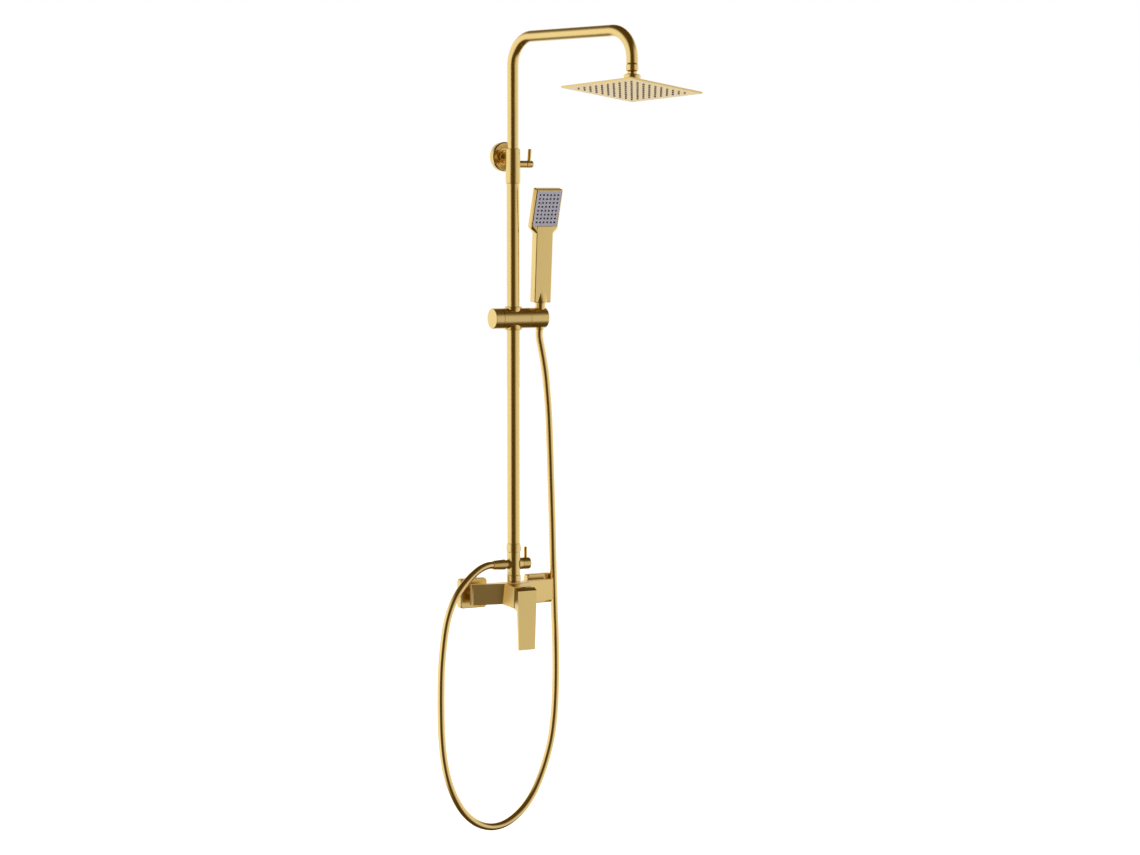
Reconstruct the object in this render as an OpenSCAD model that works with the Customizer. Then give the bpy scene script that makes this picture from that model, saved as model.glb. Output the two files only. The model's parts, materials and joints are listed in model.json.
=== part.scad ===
// Rainfall shower column: single-lever mixer, diverter, telescopic riser with a swivel arm,
// square rain head on a ball joint, sliding handset holder, handset and hose.
// Millimetres. The origin is on the finished wall, midway between the two inlets,
// at the height of the mixer. +X is right, +Y goes into the wall, +Z is up.

/* [Overall] */
// Distance from the finished wall to the riser's axis
riser_off = 42; // [40:1:46]
// Distance between the two wall inlets
inlet_gap = 150; // [148:1:152]

/* [Mixer] */
// Length of the mixer body
mixer_l = 182; // [178:1:184]
// Height of the mixer body
mixer_h = 41; // [40:1:42]
// Gap from the wall to the back of the mixer body
mixer_back = 29; // [27:0.5:29]
// Depth of the body's front from the wall, at its ends
mixer_end_front = 40; // [39:1:42]
// Depth of the body's front from the wall, at its middle
mixer_mid_front = 60; // [59:1:62]
// Side of the square wall covers
cover_w = 59.5; // [54:0.5:60]
// Thickness of the wall covers
cover_t = 15; // [12:0.5:16]
// Width of the lever at its top
lever_w = 42; // [38:0.2:44]
// Width of the lever at its tip
lever_tip_w = 35.4; // [30:0.2:38]
// Height of the lever's tip below the mixer's axis
lever_drop = 108; // [90:0.5:120]

/* [Column] */
// Diameter of the lower tube
lower_d = 25; // [25:0.1:25]
// Diameter of the upper tube and arm
upper_d = 22; // [22:0.1:22]
// Height of the lower end of the lock sleeve
sleeve_z = 810; // [806:1:812]
// Height of the lock lever's axis
lock_z = 848; // [843:1:852]
// Height of the upper wall flange's axis
flange_z = 863; // [861:1:864]
// Diameter of the upper wall flange
flange_d = 58; // [56:1:64]

/* [Arm and rain head] */
// Height of the arm's axis
arm_z = 1095; // [1090:1:1150]
// Reach of the arm from the riser's axis to the head's centre
arm_reach = 340; // [300:1:400]
// Radius of the arm's two bends, on its axis
arm_bend_r = 55; // [50:1:60]
// How far the arm is swung from straight ahead towards +X
arm_yaw = 13; // [-40:0.5:40]
// Side of the square rain head
head_w = 187; // [180:1:220]
// How far the rain head is turned on from the arm's direction
head_turn = 1.2; // [-180:0.1:180]
// How far the rain head is tilted from level
head_tilt = 7.4; // [0:0.1:10]
// Direction of the axis that the head is tilted about, from +X
head_tilt_dir = 129.7; // [0:0.1:180]
// Number of nozzles along each side of the rain head
head_nozzles = 10; // [6:1:11]
// Distance between the rain head's nozzles
head_pitch = 15.6; // [14:0.1:16]

/* [Handset] */
// Height of the slider's axis
slider_z = 545; // [400:1:550]
// Diameter of the slider's barrel
slider_d = 40; // [40:1:42]
// Distance from the riser's axis to the handset's axis
handset_x = 60; // [59.5:0.5:60.5]
// How far the handset leans forward
handset_lean = 4; // [0:0.5:20]
// Further forward lean of the handset's head
face_lean = 13; // [5:1:15]
// Width of the handle
handle_w = 37; // [32:1:38]
// Thickness of the handle
handle_t = 19.5; // [19:0.5:22]
// Width of the handset's head
face_w = 60; // [54:1:62]
// Length of the handset's head
face_h = 82; // [76:1:84]
// Thickness of the handset's head
face_t = 16; // [14:1:18]

/* [Hose] */
// Diameter of the hose
hose_d = 14.5; // [12:0.5:15]

/* [Hidden] */
$fn = 64;
gold = [0.80, 0.65, 0.36];
rubber_grey = [0.58, 0.57, 0.62];
black = [0.12, 0.12, 0.12];
nylon = [0.88, 0.87, 0.82];
ceramic = [0.93, 0.93, 0.90];
steel = [0.70, 0.70, 0.70];

// Radii of the pipe threads, at their crests
g_half = 10.48;
g_three_quarter = 13.22;
g_three_eighths = 8.33;
// Clearance between pieces that turn or slide on each other, and between parts screwed together
run = 0.08;
fit = 0.05;

inlet_x = inlet_gap / 2;
lower_r = lower_d / 2;
upper_r = upper_d / 2;
tube_wall = 1;
slider_r = slider_d / 2;
// Depths along the cartridge's axis, measured from the wall
pocket_floor = 50;
disc_seat = 57.5;
pivot_depth = 67;
nut_seat = 68;
housing_front = 82.4;
lever_back = 83.8;
lever_front = 99.5;
screw_depth = 88;
// Heights on the column
nipple_top = 29.5;
tee_z = 35.5;
tee_top = 80;
branch_z = 57;
riser_nut_top = 98.5;
sleeve_top = sleeve_z + 68;
// Ball joint
ball_z = arm_z - 95;
ball_r = 12;
socket_r = 13.65;
// The hose's route, from the diverter's outlet to the handset's cone
hose_route = [
    [-47, -42, 57], [-56, -42, 57], [-68, -42, 53.6], [-80, -42, 47.6], [-95, -42, 36.5],
    [-110.5, -42, 22], [-125, -42, 4.5], [-136, -42, -15], [-145, -42, -38], [-151.5, -42, -64],
    [-156.5, -42, -98], [-160.5, -42, -140], [-162, -42, -185], [-162, -42, -233],
    [-160.5, -42, -278], [-156, -42, -322], [-147, -42, -363], [-133, -42, -399],
    [-113, -42, -431], [-88, -42, -454], [-60, -42, -466], [-33, -42, -467], [-7, -42, -458],
    [20, -41, -439], [43, -40, -412], [61, -38.5, -380], [76, -36.5, -345], [89, -34, -305],
    [97.5, -31, -260], [102, -29, -210], [104, -27, -155], [104, -25.5, -100], [102.5, -24.5, -45],
    [100.7, -24.5, 10], [97.5, -27, 70], [93, -32, 140], [88.5, -36, 210], [84.7, -38.3, 285],
    [81, -39.5, 355], [77.3, -39.4, 400], [74.2, -39, 432], [69.7, -38.7, 461],
    [64.5, -38.7, 487], [60, -39.4, 508], [60, -40.4, 522]];
hose_sides = 10;

// Places children on the riser's axis, at a height
module at_riser(z = 0) translate([0, -riser_off, z]) children();
// Turns a piece made along +Z to run forwards from the wall, sideways, or into the wall
module forwards(x = 0, z = 0) translate([x, 0, z]) rotate([90, 0, 0]) children();
module rightwards(x = 0) translate([x, 0, 0]) rotate([0, 90, 0]) children();
module leftwards(x = 0) translate([x, 0, 0]) rotate([0, -90, 0]) children();
// A turned piece, from a list of [radius, height] points
module turned(profile) rotate_extrude() polygon(profile);
// A ring between two radii and two heights
module ring(r_in, r_out, z0, z1) translate([0, 0, z0]) difference() {
    cylinder(r = r_out, h = z1 - z0);
    translate([0, 0, -1]) cylinder(r = r_in, h = z1 - z0 + 2);
}
// A cylinder between two heights
module rod(r, z0, z1) translate([0, 0, z0]) cylinder(r = r, h = z1 - z0);
// An O-ring of a mean radius and a cord radius
module o_ring(r, cord, z) translate([0, 0, z]) rotate_extrude() translate([r, 0]) circle(r = cord, $fn = 24);
// The corner balls of a round-cornered block, centred on X and Y, and the block itself
module corner_balls(w, d, h, r) for (x = [-1, 1], y = [-1, 1], z = [r, h - r])
    translate([x * (w / 2 - r), y * (d / 2 - r), z]) sphere(r = r, $fn = 24);
module soft_block(w, d, h, r) hull() corner_balls(w, d, h, r);

// ---------------------------------------------------------------- mixer
plan_mid = mixer_l / 2;
body_plan = [[-plan_mid, -mixer_back], [-plan_mid, -mixer_end_front + 2],
    [-plan_mid + 2, -mixer_end_front - 0.4], [0, -mixer_mid_front],
    [plan_mid - 2, -mixer_end_front - 0.4], [plan_mid, -mixer_end_front + 2],
    [plan_mid, -mixer_back]];
// Centres of the cartridge's ports, as [x, z]
inlet_ports = [[-6.5, -3.5], [6.5, -3.5]];
outlet_port = [0, 7];

// The block that carries the cartridge, tapering forward from the body
module cartridge_housing() hull() {
    translate([0, -52, 0]) rotate([90, 0, 0]) linear_extrude(0.1)
        polygon([[-31, -20.5], [31, -20.5], [27, 20.5], [-27, 20.5]]);
    translate([0, 0.1 - housing_front, 0]) rotate([90, 0, 0]) linear_extrude(0.1)
        polygon([[-21, -26.5], [21, -26.5], [19.5, 16], [-19.5, 16]]);
}
module mixer_body() color(gold) difference() {
    union() {
        translate([0, 0, -mixer_h / 2]) linear_extrude(mixer_h) polygon(body_plan);
        cartridge_housing();
        at_riser() rod(12.6, mixer_h / 2 - 1, mixer_h / 2 + 1.5);
        at_riser() rod(g_half - fit, mixer_h / 2 - 1, nipple_top);
        for (side = [-1, 1]) forwards(side * inlet_x) rod(8.9, mixer_back - 2, mixer_back + 1);
    }
    // Pocket for the cartridge and seat for its nut
    forwards() rod(13, pocket_floor, nut_seat + 1);
    forwards() rod(15.1, nut_seat, housing_front + 2);
    // Water ways: two inlets, two cross ways, their ports, and the outlet
    for (side = [-1, 1]) {
        forwards(side * inlet_x) rod(7.5, mixer_back - 3, 38);
        translate([0, -36, -3.5]) rotate([0, side * 90, 0]) rod(4, 6.5, inlet_x);
        forwards(side * 6.5, -3.5) rod(2.5, 36, pocket_floor + 1);
    }
    at_riser() rod(5.5, 5, nipple_top + 1);
    forwards(outlet_port.x, outlet_port.y) rod(3, 44, pocket_floor + 1);
}
// A crank-shaped connector: a wall thread and a body thread 7.5 mm apart
union_rise = 7.5;
module wall_union(side) color(gold) difference() {
    union() {
        forwards(side * inlet_x, union_rise) rod(g_half, -16, 1);
        forwards(side * inlet_x, union_rise) rod(12, 0, 2);
        forwards(side * inlet_x) rod(g_three_quarter, 1.5, mixer_back - 3.5);
    }
    forwards(side * inlet_x, union_rise) rod(6.5, -17, 3);
    forwards(side * inlet_x) rod(7, 1.8, mixer_back);
    forwards(side * inlet_x, union_rise / 2) rod(5, 0.5, 4);
}
module eccentric_unions() {
    wall_union(-1);
    wall_union(1);
}
module union_nuts() color(gold) for (side = [-1, 1]) forwards(side * inlet_x) difference() {
    translate([0, 0, cover_t + 0.3]) cylinder(r = 16.7, h = mixer_back - cover_t - 0.3, $fn = 6);
    rod(g_three_quarter + fit, cover_t, mixer_back - 2);
    rod(9, cover_t, mixer_back + 1);
}
module inlet_filters() color(black) for (side = [-1, 1])
    forwards(side * inlet_x) ring(7, 13, mixer_back - 3.5, mixer_back - 2);
module wall_cover(side) color(gold) translate([side * inlet_x, 0, 0]) rotate([90, 0, 0]) {
    corner = 7;
    edge = cover_w / 2 - corner;
    hollow = cover_w - 8;
    difference() {
        hull() for (x = [-edge, edge], y = [-edge, edge]) translate([x, y, 0])
            rotate_extrude($fn = 32) polygon([[0, 0], [corner, 0], [corner, cover_t - 2.5],
                [corner - 0.7, cover_t - 0.7], [corner - 2.5, cover_t], [0, cover_t]]);
        translate([-hollow / 2, -hollow / 2, -1]) cube([hollow, hollow, cover_t - 2]);
        rod(g_three_quarter + 0.3, -1, cover_t + 1);
    }
}
module wall_covers() {
    wall_cover(-1);
    wall_cover(1);
}

// ---------------------------------------------------------------- cartridge and lever
module ports(r, from, to) for (p = concat(inlet_ports, [outlet_port]))
    forwards(p.x, p.y) rod(r, from, to);
module cartridge_body() color(nylon) difference() {
    forwards() rod(12.9, pocket_floor + 1, nut_seat);
    forwards() rod(10.3, disc_seat, nut_seat + 1);
    ports(2.5, pocket_floor, disc_seat + 1);
}
module cartridge_seals() color(black) for (p = concat(inlet_ports, [outlet_port]))
    forwards(p.x, p.y) ring(2.6, 3.4, pocket_floor, pocket_floor + 1);
module fixed_disc() color(ceramic) difference() {
    forwards() rod(10, disc_seat, disc_seat + 2);
    ports(2.3, disc_seat - 1, disc_seat + 3);
}
module cartridge_nut() color("goldenrod") forwards() difference() {
    rod(15, nut_seat, nut_seat + 5);
    rod(9.7, nut_seat - 1, nut_seat + 6);
    for (a = [0 : 90 : 270]) rotate([0, 0, a]) translate([13, -1.5, nut_seat + 3]) cube([3, 3, 3]);
}
module moving_disc() color(ceramic) difference() {
    forwards() rod(9.9, disc_seat + 2.1, disc_seat + 4.1);
    translate([-6, -disc_seat - 3.2, -5]) cube([12, 2, 9]);
}
module cartridge_carrier() color(nylon) difference() {
    union() {
        forwards() rod(10.1, disc_seat + 4.1, nut_seat - 0.2);
        forwards() rod(9.5, nut_seat - 1, nut_seat + 6.5);
    }
    translate([-4, -nut_seat - 8, -5.4]) cube([8, 13, 12.4]);
    translate([-11, -pivot_depth, 0]) rotate([0, 90, 0]) cylinder(r = 1.5, h = 22);
}
module stem_pin() color(steel) translate([-9.4, -pivot_depth, 0]) rotate([0, 90, 0])
    cylinder(r = 1.5 - fit, h = 18.8);
module lever_stem() color(steel) difference() {
    translate([-3.8, -90.5, -3.5]) cube([7.6, 90.5 - pivot_depth + 2.5, 7]);
    translate([-5, -pivot_depth, 0]) rotate([0, 90, 0]) cylinder(r = 1.5 + run, h = 10);
}
lever_side = [[-lever_back, -27], [-lever_back - 1.2, 3], [-lever_back - 5.6, 14.6],
    [-lever_front + 3, 11.6], [-lever_front, 9.4], [-lever_front + 1, -lever_drop],
    [-lever_front + 6, -lever_drop], [-lever_front + 7, -31.5]];
module mixer_lever() color(gold) difference() {
    intersection() {
        translate([-lever_w, 0, 0]) rotate([90, 0, 90]) linear_extrude(2 * lever_w) polygon(lever_side);
        forwards() linear_extrude(120) polygon([[-lever_w / 2, 20], [lever_w / 2, 20],
            [lever_w / 2, 8], [lever_tip_w / 2, -lever_drop - 1], [-lever_tip_w / 2, -lever_drop - 1],
            [-lever_w / 2, 8]]);
    }
    translate([-3.9, -91, -3.6]) cube([7.8, 20, 7.2]);
    translate([0, -screw_depth, -50]) cylinder(r = 2.5, h = 50);
}
module lever_grub_screw() color(steel) translate([0, -screw_depth, -13]) difference() {
    cylinder(r = 2.5 - fit, h = 9.4);
    translate([0, 0, -1]) cylinder(r = 1.44, h = 4, $fn = 6);
}

// ---------------------------------------------------------------- diverter
module outlet_washer() color(black) at_riser() ring(6, 10.2, nipple_top, nipple_top + 1.5);
module outlet_nut() color(gold) at_riser() difference() {
    turned([[0, mixer_h / 2 + 1.8], [12.9, mixer_h / 2 + 1.8], [13.9, mixer_h / 2 + 2.8],
        [13.9, tee_z - 1], [13.2, tee_z - 0.1], [0, tee_z - 0.1]]);
    rod(g_half, mixer_h / 2, nipple_top + 3.5);
    rod(9.2, mixer_h / 2, tee_z + 1);
}
branch_end = 17.3;
knob_end = 35.6;
pin_x = 27;
module diverter_body() color(gold) at_riser() difference() {
    union() {
        rod(9.1, nipple_top + 1.5, tee_z + 1);
        rod(10.3, nipple_top + 1.5, nipple_top + 3.4);
        rod(13.2, tee_z, tee_top);
        rod(10.8, tee_top - 1, tee_top + 13);
        translate([0, 0, branch_z]) rightwards() rod(11.8, 0, branch_end);
        translate([0, 0, branch_z]) rightwards() turned([[0, 8], [13.1, 8], [11.8, 15.5], [0, 15.5]]);
        translate([0, 0, branch_z]) leftwards() turned([[0, 5], [12.2, 5], [8.8, 15.5], [8.8, 19.5],
            [g_three_eighths, 20], [g_three_eighths, 30], [0, 30]]);
    }
    rod(6.5, nipple_top, branch_z);
    rod(6.5, branch_z + 6, tee_top + 14);
    translate([0, 0, branch_z]) rightwards() rod(8.1, -8, branch_end + 1);
    translate([0, 0, branch_z]) leftwards() rod(5, 0, 31);
    o_ring(10.75, 0.95, tee_top + 8);
}
module diverter_cartridge() color(nylon) at_riser(branch_z) rightwards() difference() {
    rod(8, -7.8, branch_end - 1);
    rod(5.6, -9, 9);
    rod(3.2, 8, branch_end);
    rotate([0, 90, 0]) rod(4, 0, 12);
    rotate([0, -90, 0]) rod(4, 0, 12);
}
module diverter_spindle() color(steel) at_riser(branch_z) rightwards() difference() {
    union() {
        rod(5.5, -7.6, 8.9);
        rod(3.1, 8, 30);
    }
    rod(3, -9, 5);
    rotate([0, -90, 0]) rod(2.8, 0, 12);
}
module diverter_knob() color(gold) at_riser(branch_z) rightwards() difference() {
    turned([[0, branch_end + 0.4], [11.2, branch_end + 0.4], [11.65, branch_end + 0.9],
        [11.65, knob_end - 3], [11.2, knob_end - 1.3], [10, knob_end - 0.3], [8.4, knob_end],
        [0, knob_end]]);
    rod(3.1 + fit, branch_end, 30.2);
    translate([0, 0, pin_x]) rotate([0, -90, 0]) rod(3.45, 6, 12.5);
}
module diverter_pin() color(gold) translate([pin_x, -riser_off, branch_z])
    turned([[0, 6.1], [3.4, 6.1], [3.4, 32], [2.8, 33], [0, 33]]);
module riser_o_ring() color(black) at_riser() o_ring(10.7, 0.78, tee_top + 8);
module riser_nut() color(gold) at_riser() difference() {
    turned([[0, tee_top + 0.1], [13.3, tee_top + 0.1], [14.1, tee_top + 3], [14.5, tee_top + 9],
        [14.1, tee_top + 15], [13.3, riser_nut_top - 0.8], [12.9, riser_nut_top], [0, riser_nut_top]]);
    rod(lower_r + fit, tee_top + 1.5, riser_nut_top + 1);
    rod(10.8 + fit, tee_top - 1, riser_nut_top + 1);
}

// ---------------------------------------------------------------- riser and wall bracket
sleeve_r = 14.2;
boss_end = 28.4;
lock_pin_x = 35.6;
module lower_tube() color(gold) at_riser()
    ring(lower_r - tube_wall, lower_r, tee_top + 1.6, sleeve_z + 18);
module lock_sleeve() color(gold) at_riser() difference() {
    union() {
        turned([[0, sleeve_z], [sleeve_r - 0.4, sleeve_z], [sleeve_r + 0.3, sleeve_z + 0.8],
            [sleeve_r + 0.3, sleeve_z + 18], [sleeve_r, sleeve_top - 0.8], [sleeve_r - 0.6, sleeve_top],
            [0, sleeve_top]]);
        translate([0, 0, lock_z]) rightwards() rod(6.9, 8, boss_end);
        translate([0, 0, flange_z]) rotate([-90, 0, 0]) rod(4.9, 8, 22);
    }
    rod(lower_r + fit, sleeve_z - 1, sleeve_z + 18.2);
    rod(11.5, sleeve_z, sleeve_z + 24);
    rod(13, sleeve_z + 23, sleeve_top + 1);
    translate([0, 0, lock_z]) rightwards() rod(4.5, 8, 17);
    translate([0, 0, lock_z]) rightwards() rod(4.1, 8, 31);
}
module guide_bush() color(nylon) at_riser() difference() {
    ring(upper_r + run, 12.95, sleeve_z + 23.2, sleeve_top - 0.4);
    translate([0, 0, lock_z]) rightwards() rod(4.6, 5, 16);
}
module lock_pad() color(nylon) at_riser(lock_z) rightwards() rod(4.3, upper_r + 0.25, 14.2);
// The lock lever's pin leans forward a little
lock_lean = 8;
module lock_lever() color(gold) at_riser(lock_z) rightwards() difference() {
    union() {
        rod(4, 14.6, 32);
        turned([[0, 29.6], [6.4, 29.6], [6.9, 30.1], [6.9, 41.2], [6.4, 42.7], [5.2, 43.5],
            [0, 43.6]]);
    }
    translate([0, 0, lock_pin_x]) rotate([0, -90, lock_lean]) rod(3.55, 2, 8);
}
module lock_lever_pin() color(gold) translate([lock_pin_x, -riser_off, lock_z])
    rotate([lock_lean, 0, 0]) turned([[0, 2.1], [3.5, 2.1], [3.5, 29], [2.9, 30], [0, 30]]);
module wall_stem() color(gold) difference() {
    forwards(0, flange_z) ring(5, 8.6, 5, riser_off - 10);
    at_riser() rod(sleeve_r + 0.35, sleeve_z - 5, sleeve_top + 5);
}
module wall_flange() color(gold) forwards(0, flange_z) turned([[flange_d / 2, 0], [flange_d / 2, 9.5],
    [flange_d / 2 - 1, 11.4], [flange_d / 2 - 2.6, 12], [flange_d / 2 - 5, 11.2], [17, 8.6],
    [12.8, 8.2], [12.8, 11.4], [12, 12.2], [8.8, 12.2], [8.8, 6.4], [12, 6.4], [17, 6.4],
    [flange_d / 2 - 4, 9], [flange_d / 2 - 1.6, 9], [flange_d / 2 - 1.6, 0]]);
anchor_gap = 34;
module wall_anchor() color(steel) forwards(0, flange_z) difference() {
    union() {
        rod(23, 0, 4);
        rod(8, 3, 5);
        rod(4.9, 3, 19.5);
    }
    for (side = [-1, 1]) translate([0, side * anchor_gap / 2, 0]) rod(2.6, -1, 6);
}
module anchor_screws() color(steel) for (side = [-1, 1]) forwards(0, flange_z + side * anchor_gap / 2)
    difference() {
        union() {
            rod(2, -28, 4.2);
            turned([[0, 4], [4.2, 4], [3.6, 5.6], [2, 6.2], [0, 6.2]]);
        }
        translate([-0.6, -3, 5.2]) cube([1.2, 6, 2]);
        translate([-3, -0.6, 5.2]) cube([6, 1.2, 2]);
    }
module wall_plugs() color(rubber_grey) for (side = [-1, 1])
    forwards(0, flange_z + side * anchor_gap / 2) ring(2.05, 3.5, -30, -0.2);

// ---------------------------------------------------------------- upper tube and arm
carrier_z = 556;
// The arm's solid rod at a radius, in its own plane, from the tube's lower end to the drop's end
module arm_rod(r, from, to) {
    run_y = arm_reach - 2 * arm_bend_r;
    rod(r, from, arm_z - arm_bend_r);
    translate([0, -arm_bend_r, arm_z - arm_bend_r]) rotate([90, 0, 90])
        rotate_extrude(angle = 90) translate([arm_bend_r, 0]) circle(r = r);
    translate([0, -arm_bend_r, arm_z]) rotate([90, 0, 0]) cylinder(r = r, h = run_y);
    translate([0, -arm_bend_r - run_y, arm_z - arm_bend_r]) rotate([90, 0, 90]) rotate([0, 0, 90])
        rotate_extrude(angle = 90) translate([arm_bend_r, 0]) circle(r = r);
    translate([0, -arm_reach, 0]) rod(r, to, arm_z - arm_bend_r);
}
// Places children in the arm's own plane, and on the arm's drop
module in_arm() at_riser() rotate([0, 0, arm_yaw]) children();
module at_drop() in_arm() translate([0, -arm_reach, ball_z]) children();
module shower_arm() color(gold) in_arm() difference() {
    arm_rod(upper_r, carrier_z + 8, arm_z - 63);
    arm_rod(upper_r - tube_wall, carrier_z + 7, arm_z - 64);
}
module seal_carrier() color(gold) at_riser(carrier_z) difference() {
    turned([[0, 0], [10.9, 0], [10.9, 2.4], [9.6, 2.4], [9.6, 4.8], [10.9, 4.8], [10.9, 7.8],
        [9.9, 7.8], [9.9, 20], [0, 20]]);
    rod(7, -1, 21);
}
module carrier_o_ring() color(black) at_riser(carrier_z) o_ring(10.5, 0.87, 3.6);
module arm_end() color(gold) at_drop() difference() {
    turned([[0, 19.6], [9.2, 19.6], [9.2, 30.1], [10.4, 30.8], [11, 31.9], [9.95, 31.9], [9.95, 44],
        [0, 44]]);
    rod(6.5, 19, 45);
}
module arm_washer() color(black) at_drop() ring(6.5, 9.1, 18.3, 19.6);
module ball_stud() color(gold) at_drop() difference() {
    union() {
        sphere(r = ball_r);
        turned([[0, 6], [8.9, 6], [8.9, 15.6], [10.6, 17.2], [11.65, 18.4], [11.65, 28.8],
            [10.6, 30], [0, 30]]);
    }
    rod(9.25, 18.3, 31);
    rod(4.5, -13, 19);
    rod(20, -20, -10.2);
}

// ---------------------------------------------------------------- rain head
// Places children on the ball's centre in the head's tilted frame
module in_head() translate([arm_reach * sin(arm_yaw), -riser_off - arm_reach * cos(arm_yaw), ball_z])
    rotate(a = head_tilt, v = [cos(head_tilt_dir), sin(head_tilt_dir), 0])
    rotate([0, 0, arm_yaw + head_turn]) children();
head_seat = -16.6;
top_t = 1.8;
head_face_t = 1.6;
mat_t = 0.6;
module ball_ring() color(nylon) at_drop() difference() {
    intersection() {
        sphere(r = 13.5);
        rod(20, -5.6, 1.2);
    }
    sphere(r = ball_r + run);
}
module head_socket() color(gold) in_head() difference() {
    turned([[0, head_seat], [16, head_seat], [16, -6], [0, -6]]);
    sphere(r = socket_r);
    rod(9.6, -12.9, -5);
    rod(5, head_seat - 1, -5);
}
module socket_cap() color(gold) in_head() difference() {
    turned([[0, -6], [16, -6], [16, 8.8], [15, 10], [0, 10]]);
    intersection() {
        sphere(r = socket_r);
        rod(20, -7, 5.4);
    }
    turned([[0, 5], [11.4, 5], [13.2, 11], [0, 11]]);
}
module ball_seal() color(black) in_head() difference() {
    rod(9.5, -12.9, -8.6);
    sphere(r = ball_r + run);
    rod(5.5, -14, -8);
}
module square_plate(w, z0, z1) translate([-w / 2, -w / 2, z0]) cube([w, w, z1 - z0]);
module nozzle_grid() for (i = [0 : head_nozzles - 1], j = [0 : head_nozzles - 1])
    translate([i - (head_nozzles - 1) / 2, j - (head_nozzles - 1) / 2, 0] * head_pitch) children();
mat_w = head_nozzles * head_pitch + 2;
module head_top() color(gold) in_head() difference() {
    square_plate(head_w, head_seat - top_t, head_seat);
    square_plate(mat_w + 0.4, head_seat - top_t - 1, head_seat - 0.8);
    rod(5, head_seat - 3, head_seat + 1);
}
face_z = head_seat - top_t;
module head_face() color(gold) in_head() difference() {
    square_plate(head_w, face_z - head_face_t, face_z);
    nozzle_grid() rod(2.1, face_z - head_face_t - 1, face_z + 1);
}
module head_nozzle_mat() color(rubber_grey) in_head() {
    square_plate(mat_w, face_z, face_z + mat_t);
    nozzle_grid() rod(2.1 - fit, face_z - head_face_t - 1.6, face_z + 0.1);
}

// ---------------------------------------------------------------- slider
module at_slider() at_riser(slider_z) children();
bush_r = 15.1;
module slider_bush() color(nylon) at_slider() difference() {
    union() {
        rod(bush_r, -23, 23);
        for (m = [0, 1]) mirror([0, 0, m])
            turned([[0, 20.2], [17, 20.2], [17, 22.3], [16.3, 23], [0, 23]]);
    }
    rod(lower_r + run, -24, 24);
}
body_left = -28;
body_right = 31;
module slider_body() color(gold) at_slider() difference() {
    rightwards() rod(slider_r, body_left, body_right);
    rod(bush_r + 0.1, -21, 21);
    rightwards() rod(5, body_left - 1, -14);
    rightwards() rod(2.6, 20, body_right + 1);
}
module slider_pad() color(nylon) at_slider() rightwards() rod(4.85, body_left + 0.4, -bush_r - 0.25);
module slider_knob() color(gold) at_slider() rightwards() union() {
    turned([[0, -47], [19.2, -47], [20, -46.2], [20, body_left - 0.9], [19.6, body_left - 0.4],
        [0, body_left - 0.4]]);
    rod(4, body_left - 1, body_left + 0.1);
}
module holder_screw() color(steel) at_slider() rightwards() difference() {
    union() {
        rod(2.6 - fit, 23, 40);
        turned([[0, 39.2], [4.8, 39.2], [4.8, 41.4], [0, 41.4]]);
    }
    rod(1.6, 40, 42, $fn = 6);
}
holder_end = 71.5;
neck_r = 9.8;
cone_bottom = -23;
cone_top = 30.4;
// The cone's radius at a height above the slider's axis
function cone_r(w) = 8.2 + (w - cone_bottom) * 0.04;
// Places children on the handset's axis, leaning with it
module in_hand() translate([handset_x, -riser_off, slider_z]) rotate([handset_lean, 0, 0]) children();
module handset_holder() color(gold) difference() {
    at_slider() rightwards() turned([[0, body_right + 0.4], [19.6, body_right + 0.4],
        [slider_r, body_right + 0.8], [slider_r, holder_end - 2], [slider_r - 0.6, holder_end - 0.6],
        [slider_r - 2, holder_end], [0, holder_end]]);
    at_slider() rightwards() rod(2.75, body_right, 55);
    at_slider() rightwards() rod(5, 39, 55);
    in_hand() turned([[0, -25], [cone_r(-25) + 0.25, -25], [cone_r(16) + 0.25, 16],
        [neck_r + 0.25, 17], [neck_r + 0.25, 25], [0, 25]]);
    in_hand() translate([-7.9, 0, -25]) cube([15.8, 25, 50]);
}

// ---------------------------------------------------------------- handset
// The hose's cone nut, which screws onto the handset and rests in the holder
module hose_cone() color(gold) in_hand() difference() {
    turned([[0, cone_bottom], [cone_r(cone_bottom) - 0.6, cone_bottom],
        [cone_r(cone_bottom + 1), cone_bottom + 1], [neck_r, 17],
        [neck_r, cone_top - 0.6], [neck_r - 0.5, cone_top], [0, cone_top]]);
    rod(5, cone_bottom - 1, cone_top + 1);
    rod(g_three_eighths + fit, cone_top - 12, cone_top + 1);
}
spray_w = face_w - 6;
spray_h = face_h - 10;
// Height of the spray plate's centre above the foot of the head
plate_z = face_h / 2 + 4;
handle_z = 31;
handle_l = 144;
face_base = handle_z + handle_l;
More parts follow.
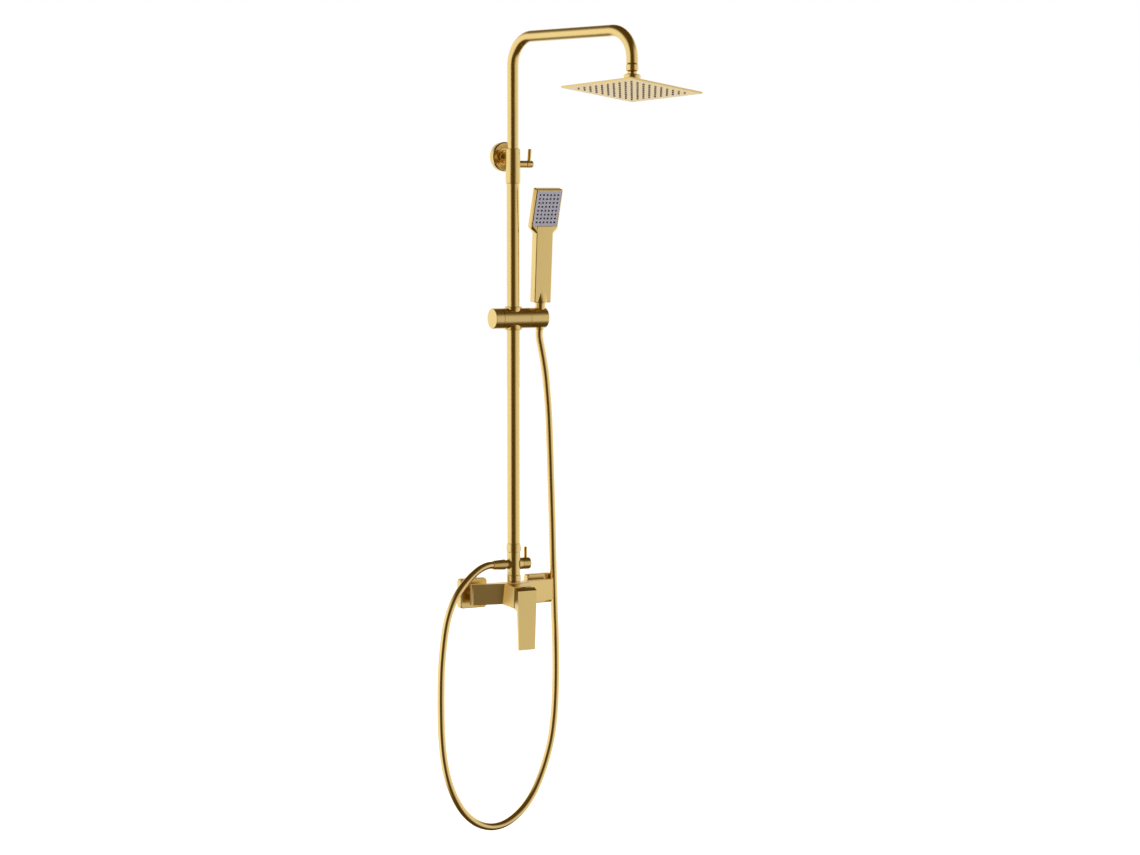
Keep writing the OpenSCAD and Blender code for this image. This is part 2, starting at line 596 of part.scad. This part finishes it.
// Places children at the foot of the handset's head, leaning further forward
module in_face() in_hand() translate([0, 1.5, face_base]) rotate([face_lean, 0, 0]) children();
module face_front(w, h, r, d0, d1) translate([0, -d0, plate_z]) rotate([90, 0, 0])
    linear_extrude(d1 - d0) union() {
        square([w - 2 * r, h], center = true);
        square([w, h - 2 * r], center = true);
        for (x = [-1, 1], y = [-1, 1]) translate([x * (w / 2 - r), y * (h / 2 - r)]) circle(r = r);
    }
spray_pitch = 8;
module spray_grid() for (i = [-2.5 : 2.5], j = [-3.5 : 3.5])
    translate([i * spray_pitch, 0, plate_z + j * spray_pitch]) children();
module handset() color(gold) difference() {
    union() {
        in_hand() translate([0, 0, handle_z]) soft_block(handle_w, handle_t, handle_l + 10, 2);
        in_hand() turned([[0, handle_z], [14.8, handle_z], [9.2, handle_z + 27], [0, handle_z + 27]]);
        in_hand() rod(g_three_eighths, cone_top - 10, handle_z + 2);
        in_face() translate([0, 0, 2]) soft_block(face_w, face_t, face_h, 3);
        hull() {
            in_hand() translate([0, 0, face_base - 8]) corner_balls(handle_w, handle_t, 8, 2);
            in_face() translate([0, 0, 2]) corner_balls(face_w, face_t, 10, 3);
        }
    }
    in_hand() rod(5, cone_top - 11, face_base + 20);
    in_face() face_front(spray_w + 0.4, spray_h + 0.4, 3.2, face_t / 2 - 2.2, face_t / 2 + 2);
    in_face() face_front(spray_w - 4, spray_h - 4, 2, -3, face_t / 2);
}
module spray_plate() color(rubber_grey) in_face() difference() {
    face_front(spray_w, spray_h, 3, face_t / 2 - 2.2, face_t / 2 - 0.4);
    spray_grid() translate([-1.7, -20, -1.7]) cube([3.4, 20, 3.4]);
}
module spray_mat() color(black) in_face() union() {
    face_front(spray_w - 5, spray_h - 5, 2, face_t / 2 - 3.4, face_t / 2 - 2.2);
    spray_grid() translate([-1.65, -face_t / 2 - 0.3, -1.65]) cube([3.3, 3, 3.3]);
}

// ---------------------------------------------------------------- hose
module hose_nut() color(gold) at_riser(branch_z) leftwards() difference() {
    turned([[0, 20.4], [9.9, 20.4], [10.4, 21], [8.9, 46.4], [8.3, 47], [0, 47]]);
    rod(g_three_eighths + fit, 20, 32);
    rod(5, 20, 50);
}
// A point's direction along the route, and a steady normal across it
function unit(v) = v / norm(v);
function route_way(i) = unit(hose_route[min(i + 1, len(hose_route) - 1)] - hose_route[max(i - 1, 0)]);
function across(t) = unit(cross(t, [0, 1, 0]));
function route_ring(i) = let (t = route_way(i), n = across(t), b = cross(t, n))
    [for (k = [0 : hose_sides - 1]) hose_route[i] + hose_d / 2 * (cos(360 * k / hose_sides) * n
        + sin(360 * k / hose_sides) * b)];
module hose() color(gold) {
    n = len(hose_route);
    s = hose_sides;
    polyhedron(points = [for (i = [0 : n - 1]) each route_ring(i)],
        faces = concat([[for (k = [0 : s - 1]) k]],
            [for (i = [0 : n - 2], k = [0 : s - 1]) each [
                [i * s + k, (i + 1) * s + k, i * s + (k + 1) % s],
                [i * s + (k + 1) % s, (i + 1) * s + k, (i + 1) * s + (k + 1) % s]]],
            [[for (k = [s - 1 : -1 : 0]) (n - 1) * s + k]]));
}

mixer_body();
eccentric_unions();
union_nuts();
inlet_filters();
wall_covers();
cartridge_body();
cartridge_seals();
fixed_disc();
cartridge_nut();
moving_disc();
cartridge_carrier();
stem_pin();
lever_stem();
mixer_lever();
lever_grub_screw();
outlet_washer();
outlet_nut();
diverter_body();
diverter_cartridge();
diverter_spindle();
diverter_knob();
diverter_pin();
riser_o_ring();
riser_nut();
lower_tube();
lock_sleeve();
guide_bush();
lock_pad();
lock_lever();
lock_lever_pin();
wall_stem();
wall_flange();
wall_anchor();
anchor_screws();
wall_plugs();
seal_carrier();
carrier_o_ring();
shower_arm();
arm_end();
arm_washer();
ball_stud();
ball_ring();
head_socket();
socket_cap();
ball_seal();
head_top();
head_face();
head_nozzle_mat();
slider_bush();
slider_body();
slider_pad();
slider_knob();
holder_screw();
handset_holder();
handset();
spray_plate();
spray_mat();
hose_nut();
hose_cone();
hose();
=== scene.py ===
"""Rainfall shower column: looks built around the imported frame. Metres, +X right, +Y into the wall, +Z up."""
import json
import math

import bmesh
import bpy
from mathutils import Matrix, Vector


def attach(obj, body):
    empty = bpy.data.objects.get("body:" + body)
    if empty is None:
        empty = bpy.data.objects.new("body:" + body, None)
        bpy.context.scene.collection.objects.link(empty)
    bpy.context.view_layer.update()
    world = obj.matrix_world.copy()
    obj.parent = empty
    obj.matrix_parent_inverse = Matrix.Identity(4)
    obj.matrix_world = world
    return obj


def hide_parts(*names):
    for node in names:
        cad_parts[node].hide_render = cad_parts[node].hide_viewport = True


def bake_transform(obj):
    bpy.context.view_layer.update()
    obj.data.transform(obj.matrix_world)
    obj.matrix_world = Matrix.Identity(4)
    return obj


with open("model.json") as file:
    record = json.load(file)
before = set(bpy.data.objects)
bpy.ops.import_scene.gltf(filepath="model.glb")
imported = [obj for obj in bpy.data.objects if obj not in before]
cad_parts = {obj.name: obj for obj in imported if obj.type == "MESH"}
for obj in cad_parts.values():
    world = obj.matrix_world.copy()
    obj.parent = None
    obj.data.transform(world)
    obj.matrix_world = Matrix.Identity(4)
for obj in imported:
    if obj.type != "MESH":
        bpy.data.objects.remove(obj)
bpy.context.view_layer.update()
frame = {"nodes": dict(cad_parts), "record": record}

scene = bpy.context.scene
nodes = frame["nodes"]
record = frame["record"]
# The body that each CAD node rides on, and its material slot
body_of = {part: body for body, parts in record["behaviour"]["bodies"].items() for part in parts}
slot_of = {part["node"]: part["material_slot"] for part in record["subparts"]}


# ---------------------------------------------------------------- camera
CAMERA_AT = (-2.60, -4.92, 0.75)
# The azimuth is from straight at the wall, positive to the right, and the pitch is positive upwards
CAMERA_AZIMUTH = math.radians(29.22)
CAMERA_PITCH = math.radians(-4.36)
CAMERA_LENS = 88.4
CAMERA_REACH = 100


def make_camera():
    data = bpy.data.cameras.new("camera")
    data.lens = CAMERA_LENS
    data.clip_end = CAMERA_REACH
    camera = bpy.data.objects.new("camera", data)
    scene.collection.objects.link(camera)
    camera.location = CAMERA_AT
    camera.rotation_euler = (math.pi / 2 + CAMERA_PITCH, 0, -CAMERA_AZIMUTH)
    scene.camera = camera


# ---------------------------------------------------------------- materials
# Scales of noise are in cells per metre
LINE_CELLS = 40.0
CROSS_CELLS = 2600.0
CLOUD_CELLS = 14.0
MOTTLE_CELLS = 300.0
# How far the brushed gold's roughness and colour vary, and the roughness of plain matter
GRAIN = 0.02
CLOUD_SHARE = 0.03
GLOSS_SHARE = 0.15
# The depth of a surface's relief, and how strongly each kind shows it
RELIEF = 0.0001
BRUSHED_RELIEF = 0.01
MOTTLE_RELIEF = 0.1


def new_material(name, metallic):
    material = bpy.data.materials.new(name)
    material.use_nodes = True
    shader = material.node_tree.nodes["Principled BSDF"]
    shader.inputs["Metallic"].default_value = metallic
    return material, material.node_tree, shader


def node(tree, kind, **settings):
    made = tree.nodes.new(kind)
    for key, value in settings.items():
        setattr(made, key, value)
    return made


def noise(tree, vector, scale, detail):
    made = node(tree, "ShaderNodeTexNoise")
    made.inputs["Scale"].default_value = scale
    made.inputs["Detail"].default_value = detail
    tree.links.new(vector, made.inputs["Vector"])
    return made.outputs["Fac"]


def vary_colour(tree, shader, pattern, colour, share):
    """Runs the colour from a share below itself to a share above, by a pattern."""
    tint = node(tree, "ShaderNodeMixRGB")
    tint.inputs["Color1"].default_value = (*[c * (1 - share) for c in colour], 1)
    tint.inputs["Color2"].default_value = (*[min(1, c * (1 + share)) for c in colour], 1)
    tree.links.new(pattern, tint.inputs["Fac"])
    tree.links.new(tint.outputs["Color"], shader.inputs["Base Color"])


def vary_roughness(tree, shader, pattern, low, high):
    rough = node(tree, "ShaderNodeMapRange")
    rough.inputs["To Min"].default_value = low
    rough.inputs["To Max"].default_value = high
    tree.links.new(pattern, rough.inputs["Value"])
    tree.links.new(rough.outputs["Result"], shader.inputs["Roughness"])


def add_relief(tree, shader, pattern, strength):
    bump = node(tree, "ShaderNodeBump")
    bump.inputs["Strength"].default_value = strength
    bump.inputs["Distance"].default_value = RELIEF
    tree.links.new(pattern, bump.inputs["Height"])
    tree.links.new(bump.outputs["Normal"], shader.inputs["Normal"])


def brushed(name, colour, along, roughness):
    """Satin gold plating, with its fine brushed lines along an axis and a faint cloud in its tone."""
    material, tree, shader = new_material(name, metallic=1.0)
    place = node(tree, "ShaderNodeTexCoord").outputs["Object"]
    stretch = node(tree, "ShaderNodeMapping")
    stretch.inputs["Scale"].default_value = [LINE_CELLS if axis == along else CROSS_CELLS for axis in "XYZ"]
    tree.links.new(place, stretch.inputs["Vector"])
    lines = noise(tree, stretch.outputs["Vector"], scale=1.0, detail=2.0)
    cloud = noise(tree, place, CLOUD_CELLS, detail=3.0)
    vary_roughness(tree, shader, lines, roughness - GRAIN, roughness + GRAIN)
    vary_colour(tree, shader, cloud, colour, CLOUD_SHARE)
    add_relief(tree, shader, lines, BRUSHED_RELIEF)
    return material


def plain(name, colour, roughness, metallic, mottle):
    """Moulded or cast matter with a fine mottle in its colour, gloss and surface."""
    material, tree, shader = new_material(name, metallic)
    place = node(tree, "ShaderNodeTexCoord").outputs["Object"]
    pattern = noise(tree, place, MOTTLE_CELLS, detail=5.0)
    vary_colour(tree, shader, pattern, colour, mottle)
    vary_roughness(tree, shader, pattern, roughness * (1 - GLOSS_SHARE), roughness * (1 + GLOSS_SHARE))
    add_relief(tree, shader, pattern, MOTTLE_RELIEF)
    return material


GOLD = (0.88, 0.655, 0.265)
HOSE_GOLD = (0.92, 0.69, 0.31)
gold_x = brushed("brushed_gold_x", GOLD, "X", 0.30)
gold_y = brushed("brushed_gold_y", GOLD, "Y", 0.30)
gold_z = brushed("brushed_gold_z", GOLD, "Z", 0.25)
hose_gold = brushed("hose_gold", HOSE_GOLD, "Z", 0.19)
# After each colour: how rough it is, how metallic, and the share of its mottle
PLAIN = {
    "raw_brass": ((0.72, 0.52, 0.25), 0.35, 1.0, 0.08),
    "stainless": ((0.58, 0.57, 0.55), 0.3, 1.0, 0.06),
    "ceramic": ((0.85, 0.85, 0.82), 0.2, 0.0, 0.02),
    "nylon": ((0.78, 0.77, 0.71), 0.45, 0.0, 0.03),
    "rubber_black": ((0.02, 0.02, 0.022), 0.6, 0.0, 0.3),
    "nozzle_grey": ((0.27, 0.245, 0.29), 0.5, 0.0, 0.1),
    "spray_grey": ((0.37, 0.36, 0.43), 0.35, 0.0, 0.04),
    "plug_grey": ((0.4, 0.4, 0.42), 0.6, 0.0, 0.1),
}
FINISH = {name: plain(name, *look) for name, look in PLAIN.items()}
FINISH["hose_gold"] = hose_gold
# Gold nodes whose brushed lines don't run upwards
BRUSHED_ALONG_X = ("mixer_body", "diverter_knob", "lock_lever", "slider_body", "slider_knob",
                   "handset_holder", "hose_nut")
BRUSHED_ALONG_Y = ("head_face", "head_top")


def finish_of(name):
    if slot_of[name] != "brushed_gold":
        return FINISH[slot_of[name]]
    if name in BRUSHED_ALONG_X:
        return gold_x
    return gold_y if name in BRUSHED_ALONG_Y else gold_z


def finish_cad_nodes():
    for name, part in nodes.items():
        part.data.materials.clear()
        part.data.materials.append(finish_of(name))


# ---------------------------------------------------------------- pieces with rounded edges
# Nodes with crisp edges, and the width of the rounding on each
EDGE = {
    "mixer_body": 0.0009,
    "wall_covers": 0.0003,
    "mixer_lever": 0.0009,
    "union_nuts": 0.0006,
    "head_top": 0.0006,
    "handset": 0.0003,
    "handset_holder": 0.0005,
    "slider_body": 0.0003,
    "slider_knob": 0.0003,
    "lock_sleeve": 0.0003,
    "diverter_body": 0.0003,
    "lock_lever": 0.0003,
}
EDGE_STEPS = 3
WELD = 1e-6
FLAT_ANGLE = math.radians(0.5)
SMOOTH_ANGLE = math.radians(30)


def edged_mesh(name, width):
    """A CAD node's own mesh, with its flats made whole and its sharp edges rounded."""
    form = bmesh.new()
    form.from_mesh(nodes[name].data)
    bmesh.ops.remove_doubles(form, verts=form.verts, dist=WELD)
    bmesh.ops.dissolve_limit(form, angle_limit=FLAT_ANGLE, verts=form.verts, edges=form.edges)
    sharp = [edge for edge in form.edges
             if len(edge.link_faces) == 2 and edge.calc_face_angle(0) > SMOOTH_ANGLE]
    bmesh.ops.bevel(form, geom=sharp, offset=width, offset_type="OFFSET", segments=EDGE_STEPS,
                    profile=0.5, affect="EDGES", clamp_overlap=True)
    for face in form.faces:
        face.smooth = True
    mesh = bpy.data.meshes.new(name + "_finished")
    form.to_mesh(mesh)
    form.free()
    mesh.set_sharp_from_angle(angle=SMOOTH_ANGLE)
    return mesh


def make_edged(name, width):
    piece = bpy.data.objects.new(name + "_finished", edged_mesh(name, width))
    scene.collection.objects.link(piece)
    piece.modifiers.new("even shading", "WEIGHTED_NORMAL").keep_sharp = True
    piece.data.materials.append(finish_of(name))
    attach(piece, body_of[name])
    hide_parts(name)


# ---------------------------------------------------------------- hose
HOSE_D = 0.0145
HOSE_SIDES = 24
STEPS = 5
# The same points as hose_route in part.scad
HOSE_ROUTE = [
    (-0.047, -0.042, 0.057), (-0.056, -0.042, 0.057), (-0.068, -0.042, 0.0536),
    (-0.08, -0.042, 0.0476), (-0.095, -0.042, 0.0365), (-0.1105, -0.042, 0.022),
    (-0.125, -0.042, 0.0045), (-0.136, -0.042, -0.015), (-0.145, -0.042, -0.038),
    (-0.1515, -0.042, -0.064), (-0.1565, -0.042, -0.098), (-0.1605, -0.042, -0.14),
    (-0.162, -0.042, -0.185), (-0.162, -0.042, -0.233), (-0.1605, -0.042, -0.278),
    (-0.156, -0.042, -0.322), (-0.147, -0.042, -0.363), (-0.133, -0.042, -0.399),
    (-0.113, -0.042, -0.431), (-0.088, -0.042, -0.454), (-0.06, -0.042, -0.466),
    (-0.033, -0.042, -0.467), (-0.007, -0.042, -0.458), (0.02, -0.041, -0.439),
    (0.043, -0.04, -0.412), (0.061, -0.0385, -0.38), (0.076, -0.0365, -0.345),
    (0.089, -0.034, -0.305), (0.0975, -0.031, -0.26), (0.102, -0.029, -0.21),
    (0.104, -0.027, -0.155), (0.104, -0.0255, -0.1), (0.1025, -0.0245, -0.045),
    (0.1007, -0.0245, 0.01), (0.0975, -0.027, 0.07), (0.093, -0.032, 0.14),
    (0.0885, -0.036, 0.21), (0.0847, -0.0383, 0.285), (0.081, -0.0395, 0.355),
    (0.0773, -0.0394, 0.4), (0.0742, -0.039, 0.432), (0.0697, -0.0387, 0.461),
    (0.0645, -0.0387, 0.487), (0.06, -0.0394, 0.508), (0.06, -0.0404, 0.522)
]
# The route is cut where the hose passes from one body to the next: the index of each cut's point
CUT_BOTTOM, CUT_SWIVEL, CUT_TILT, CUT_LIFT = 21, 39, 41, 43


def curve_point(before, a, b, after, t):
    """The point a share t of the way from a to b, on the smooth curve through all four."""
    return 0.5 * (2 * a + (b - before) * t + (2 * before - 5 * a + 4 * b - after) * t ** 2
                  + (3 * a - before - 3 * b + after) * t ** 3)


def hose_line(first, last):
    """The smooth line through the route's points, from one of them to another."""
    route = [Vector(point) for point in HOSE_ROUTE]
    line = []
    for i in range(first, last):
        before, after = route[max(i - 1, 0)], route[min(i + 2, len(route) - 1)]
        line += [curve_point(before, route[i], route[i + 1], after, k / STEPS) for k in range(STEPS)]
    line.append(route[last])
    return line


def hose_ring(mesh, point, way):
    """A ring square to the hose's way. The hose never runs along Y, so Y can set the ring's turn."""
    across = way.cross(Vector((0, 1, 0))).normalized()
    up = way.cross(across)
    turns = [2 * math.pi * k / HOSE_SIDES for k in range(HOSE_SIDES)]
    return [mesh.verts.new(point + HOSE_D / 2 * (math.cos(turn) * across + math.sin(turn) * up))
            for turn in turns]


def hose_mesh(name, line, whole):
    """A capped tube along the line. Its end rings match the next length's, ring for ring."""
    mesh = bmesh.new()
    start = whole.index(line[0])
    rings = []
    for at, point in enumerate(line, start):
        way = (whole[min(at + 1, len(whole) - 1)] - whole[max(at - 1, 0)]).normalized()
        rings.append(hose_ring(mesh, point, way))
    for one, two in zip(rings, rings[1:]):
        for k in range(HOSE_SIDES):
            m = (k + 1) % HOSE_SIDES
            mesh.faces.new((one[k], one[m], two[m], two[k])).smooth = True
    mesh.faces.new(rings[0][::-1])
    mesh.faces.new(rings[-1])
    bmesh.ops.recalc_face_normals(mesh, faces=mesh.faces)
    data = bpy.data.meshes.new(name)
    mesh.to_mesh(data)
    mesh.free()
    data.set_sharp_from_angle(angle=SMOOTH_ANGLE)
    return data


def hose_piece(name, first, last, whole):
    line = hose_line(first, last)
    piece = bpy.data.objects.new(name, hose_mesh(name, line, whole))
    scene.collection.objects.link(piece)
    piece.data.materials.append(hose_gold)
    return piece, line


def make_hose():
    """The hose hangs from the diverter, in lengths cut along its route: the loop rides on the root body, and
    the other lengths are built in place.
    """
    end = len(HOSE_ROUTE) - 1
    whole = hose_line(0, end)
    loop, loop_line = hose_piece("hose_loop", 0, CUT_BOTTOM, whole)
    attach(loop, "root")
    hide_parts("hose")
    rise, rise_line = hose_piece("hose_rise", CUT_BOTTOM, CUT_SWIVEL, whole)
    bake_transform(rise)
    for name, first, last, below, above in (("hose_swivel", CUT_SWIVEL, CUT_TILT, "slider_bush", "slider"),
                                            ("hose_tilt", CUT_TILT, CUT_LIFT, "slider", "holder"),
                                            ("hose_end", CUT_LIFT, end, "holder", "handset")):
        piece, line = hose_piece(name, first, last, whole)
        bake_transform(piece)


# ---------------------------------------------------------------- stage and light
# The studio that the metal mirrors. Azimuths are in degrees from straight ahead of the column,
# positive to the right: a dark gap between two bright walls, each with a soft edge.
LEFT_WALL = (-78, -58)
RIGHT_WALL = (-4, 34)
# The right wall has only this share of its light until these azimuths
NEAR_SHARE = 0.74
FAR_RIGHT = (58, 88)
# Sines of the elevations where the walls fade out
WALL_TOP = (0.28, 0.72)
WALL_BOTTOM = (-0.75, -0.45)
WALL_STRENGTH = 1.02
WALL_BLUE = 0.98
DARK = (0.085, 0.05, 0.006, 1)
WHITE = (1, 1, 1, 1)
# Where each soft light stands, what it points at, its size and its power in watts
SOFT_LIGHTS = {
    "key": ((-2.2, -3.0, 1.8), (0, -0.1, 0.3), 2.0, 60),
    "low fill": ((0.6, -2.4, -0.4), (0, -0.3, 0.6), 1.6, 25),
}
FLOOR_SIZE = 40
FLOOR_Z = -1.0
FLOOR_COLOUR = (0.9, 0.9, 0.9, 1)
FLOOR_ROUGHNESS = 0.9


def ramp(tree, value, low, high):
    """Smoothly 0 below low and 1 above high."""
    made = node(tree, "ShaderNodeMapRange", interpolation_type="SMOOTHSTEP")
    made.inputs["From Min"].default_value = low
    made.inputs["From Max"].default_value = high
    tree.links.new(value, made.inputs["Value"])
    return made.outputs["Result"]


def azimuth_ramp(tree, azimuth, edges):
    return ramp(tree, azimuth, *[math.radians(edge) for edge in edges])


def combine(tree, operation, a, b):
    made = node(tree, "ShaderNodeMath", operation=operation)
    for socket, value in zip(made.inputs, (a, b)):
        if isinstance(value, float):
            socket.default_value = value
        else:
            tree.links.new(value, socket)
    return made.outputs["Value"]


def wall_brightness(tree):
    """How much of the walls' light comes from each direction, from 0 to 1."""
    coords = node(tree, "ShaderNodeTexCoord")
    parts = node(tree, "ShaderNodeSeparateXYZ")
    tree.links.new(coords.outputs["Generated"], parts.inputs["Vector"])
    ahead = combine(tree, "MULTIPLY", parts.outputs["Y"], -1.0)
    azimuth = combine(tree, "ARCTAN2", parts.outputs["X"], ahead)
    near = combine(tree, "MULTIPLY", azimuth_ramp(tree, azimuth, RIGHT_WALL), NEAR_SHARE)
    far = combine(tree, "MULTIPLY", azimuth_ramp(tree, azimuth, FAR_RIGHT), 1 - NEAR_SHARE)
    right = combine(tree, "ADD", near, far)
    left = combine(tree, "SUBTRACT", 1.0, azimuth_ramp(tree, azimuth, LEFT_WALL))
    walls = combine(tree, "ADD", left, right)
    below_top = combine(tree, "SUBTRACT", 1.0, ramp(tree, parts.outputs["Z"], *WALL_TOP))
    above_bottom = ramp(tree, parts.outputs["Z"], *WALL_BOTTOM)
    band = combine(tree, "MULTIPLY", below_top, above_bottom)
    return combine(tree, "MULTIPLY", walls, band)


def world_light():
    """The metal mirrors the studio, and the camera sees plain white."""
    world = bpy.data.worlds.new("studio")
    scene.world = world
    world.use_nodes = True
    tree = world.node_tree
    tree.nodes.clear()
    shade = node(tree, "ShaderNodeMixRGB")
    tree.links.new(wall_brightness(tree), shade.inputs["Fac"])
    shade.inputs["Color1"].default_value = DARK
    shade.inputs["Color2"].default_value = (WALL_STRENGTH, WALL_STRENGTH, WALL_STRENGTH * WALL_BLUE, 1)
    studio = node(tree, "ShaderNodeBackground")
    tree.links.new(shade.outputs["Color"], studio.inputs["Color"])
    white = node(tree, "ShaderNodeBackground")
    white.inputs["Color"].default_value = WHITE
    path = node(tree, "ShaderNodeLightPath")
    mix = node(tree, "ShaderNodeMixShader")
    tree.links.new(path.outputs["Is Camera Ray"], mix.inputs["Fac"])
    tree.links.new(studio.outputs["Background"], mix.inputs[1])
    tree.links.new(white.outputs["Background"], mix.inputs[2])
    out = node(tree, "ShaderNodeOutputWorld")
    tree.links.new(mix.outputs["Shader"], out.inputs["Surface"])


def soft_light(name, at, towards, size, power):
    """A large soft light that fills the matt pieces and isn't mirrored in the metal."""
    data = bpy.data.lights.new(name, "AREA")
    data.size = size
    data.energy = power
    lamp = bpy.data.objects.new(name, data)
    scene.collection.objects.link(lamp)
    lamp.location = at
    lamp.rotation_euler = (Vector(towards) - Vector(at)).to_track_quat("-Z", "Y").to_euler()
    lamp.visible_glossy = False


def make_floor():
    """A floor that the camera sees as white, and that isn't mirrored in the metal."""
    bpy.ops.mesh.primitive_plane_add(size=FLOOR_SIZE, location=(0, 0, FLOOR_Z))
    floor = bpy.context.object
    floor.name = "floor"
    material, tree, shader = new_material("pale_floor", metallic=0.0)
    shader.inputs["Base Color"].default_value = FLOOR_COLOUR
    shader.inputs["Roughness"].default_value = FLOOR_ROUGHNESS
    shader.inputs["Emission Color"].default_value = WHITE
    path = node(tree, "ShaderNodeLightPath")
    tree.links.new(path.outputs["Is Camera Ray"], shader.inputs["Emission Strength"])
    floor.data.materials.append(material)
    floor.visible_glossy = False


make_camera()
make_hose()
finish_cad_nodes()
for part_name, edge_width in EDGE.items():
    make_edged(part_name, edge_width)
world_light()
for light_name, look in SOFT_LIGHTS.items():
    soft_light(light_name, *look)
make_floor()
scene.view_settings.view_transform = "Standard"
